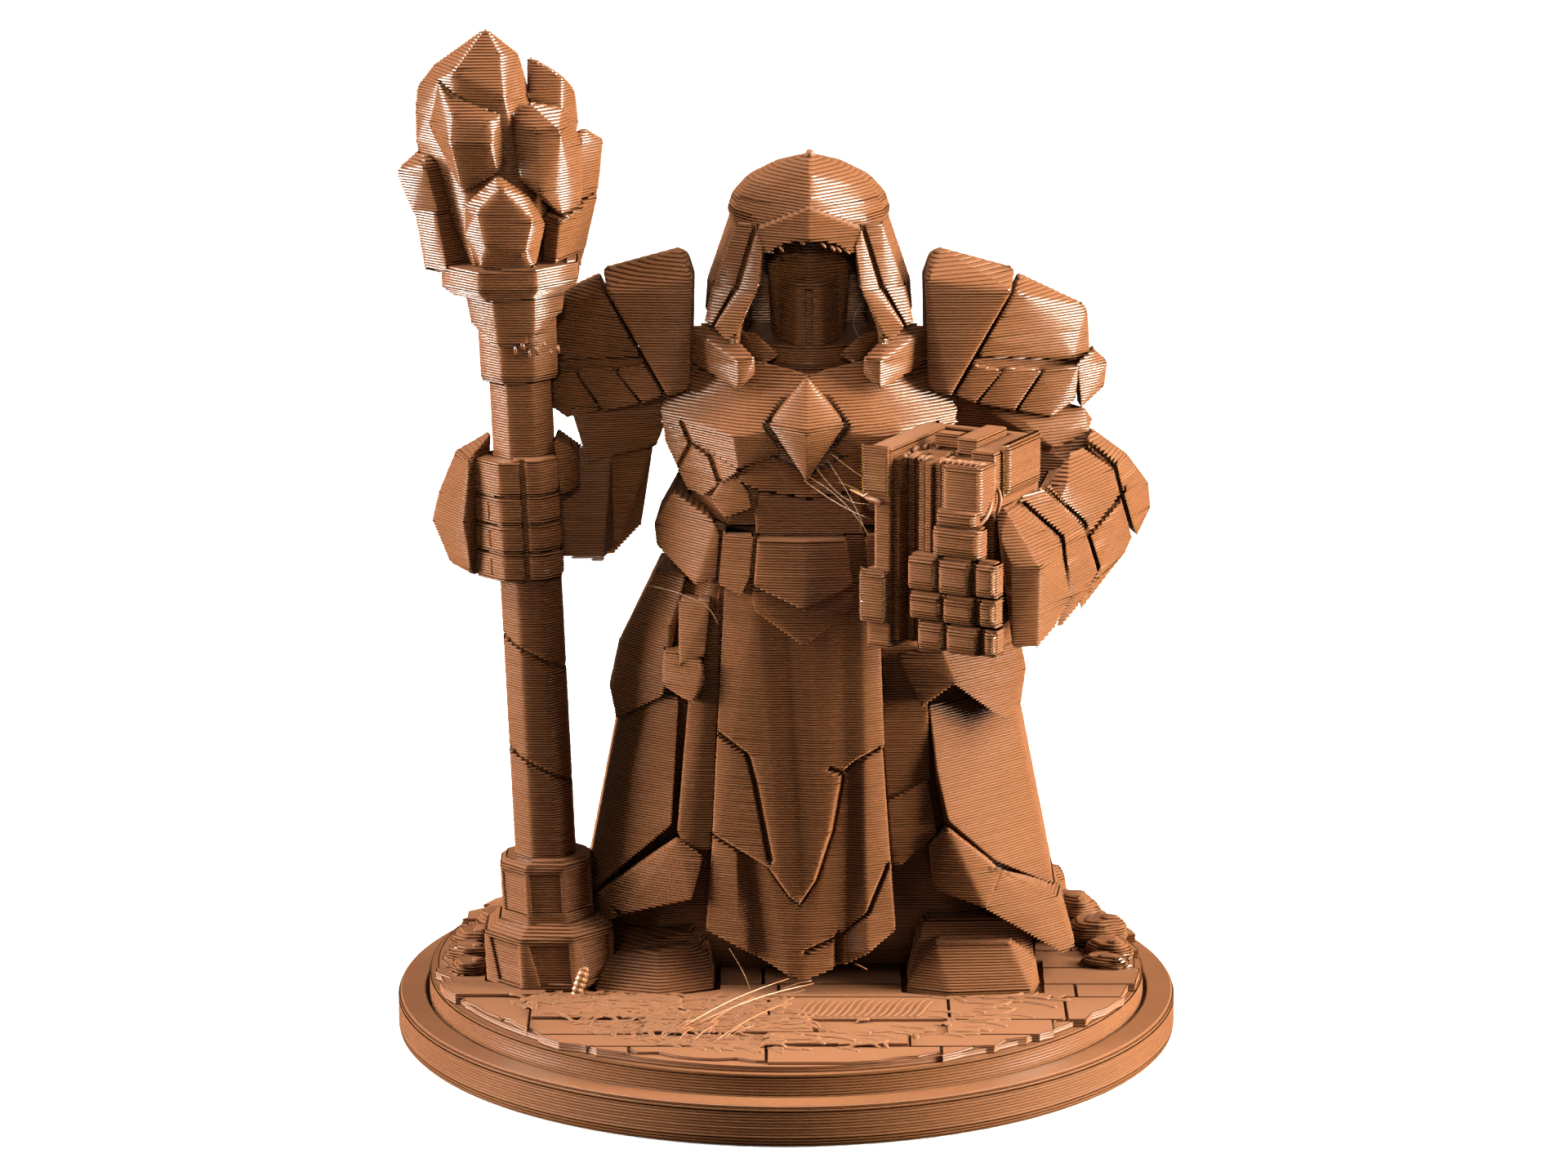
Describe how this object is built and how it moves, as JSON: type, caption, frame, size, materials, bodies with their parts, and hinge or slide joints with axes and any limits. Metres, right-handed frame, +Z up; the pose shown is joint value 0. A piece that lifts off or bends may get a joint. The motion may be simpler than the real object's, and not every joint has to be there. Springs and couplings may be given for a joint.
{
  "type": "tabletop miniature figure",
  "caption": "Hooded armoured tabletop figure with a crystal-headed staff and a thick book, standing on a round paved base.",
  "frame": {"origin": "centre of the underside of the round base", "axes": "+Z up from the table along the figure's height; the figure faces -Y; +X is its left"},
  "size_m": [0.032, 0.032, 0.0417],
  "materials": {
    "print_brown": "satin print filament"
  },
  "bodies": {
    "root": {"base_rim": "print_brown", "base_plinth": "print_brown", "paving": "print_brown", "rubble_left": "print_brown", "rubble_right": "print_brown", "right_boot": "print_brown", "left_boot": "print_brown", "robe_core": "print_brown", "robe_panel_right": "print_brown", "robe_panel_left": "print_brown", "robe_hem_right": "print_brown", "robe_hem_left": "print_brown", "tabard": "print_brown", "tabard_layer_right": "print_brown", "tabard_layer_left": "print_brown", "hip_plate_right": "print_brown", "hip_plate_left": "print_brown", "hip_pouch": "print_brown", "belt": "print_brown", "belt_plate_centre": "print_brown", "belt_plate_second": "print_brown", "belt_plates_small": "print_brown", "belt_plate_right": "print_brown", "belt_plate_left": "print_brown", "torso": "print_brown", "abdomen_plates": "print_brown", "chest_plate_right": "print_brown", "chest_plate_left": "print_brown", "side_plates": "print_brown", "chest_gem": "print_brown", "collar_right": "print_brown", "collar_left": "print_brown", "neck_ring": "print_brown", "helmet": "print_brown", "visor": "print_brown", "hood": "print_brown", "hood_rim": "print_brown", "pauldron_inner_right": "print_brown", "pauldron_outer_right": "print_brown", "pauldron_band_right": "print_brown", "pauldron_inner_left": "print_brown", "pauldron_outer_left": "print_brown", "pauldron_band_left": "print_brown", "right_arm": "print_brown", "right_hand": "print_brown", "right_fingers": "print_brown", "left_arm": "print_brown", "left_elbow_plates": "print_brown", "left_hand": "print_brown", "left_fingers": "print_brown", "staff_shaft": "print_brown", "staff_pommel": "print_brown", "staff_sleeves": "print_brown", "staff_cup": "print_brown", "crystal_main": "print_brown", "crystals_upper": "print_brown", "crystals_lower": "print_brown", "book_pages": "print_brown", "book_covers": "print_brown", "book_straps": "print_brown"}
  },
  "joints": []
}
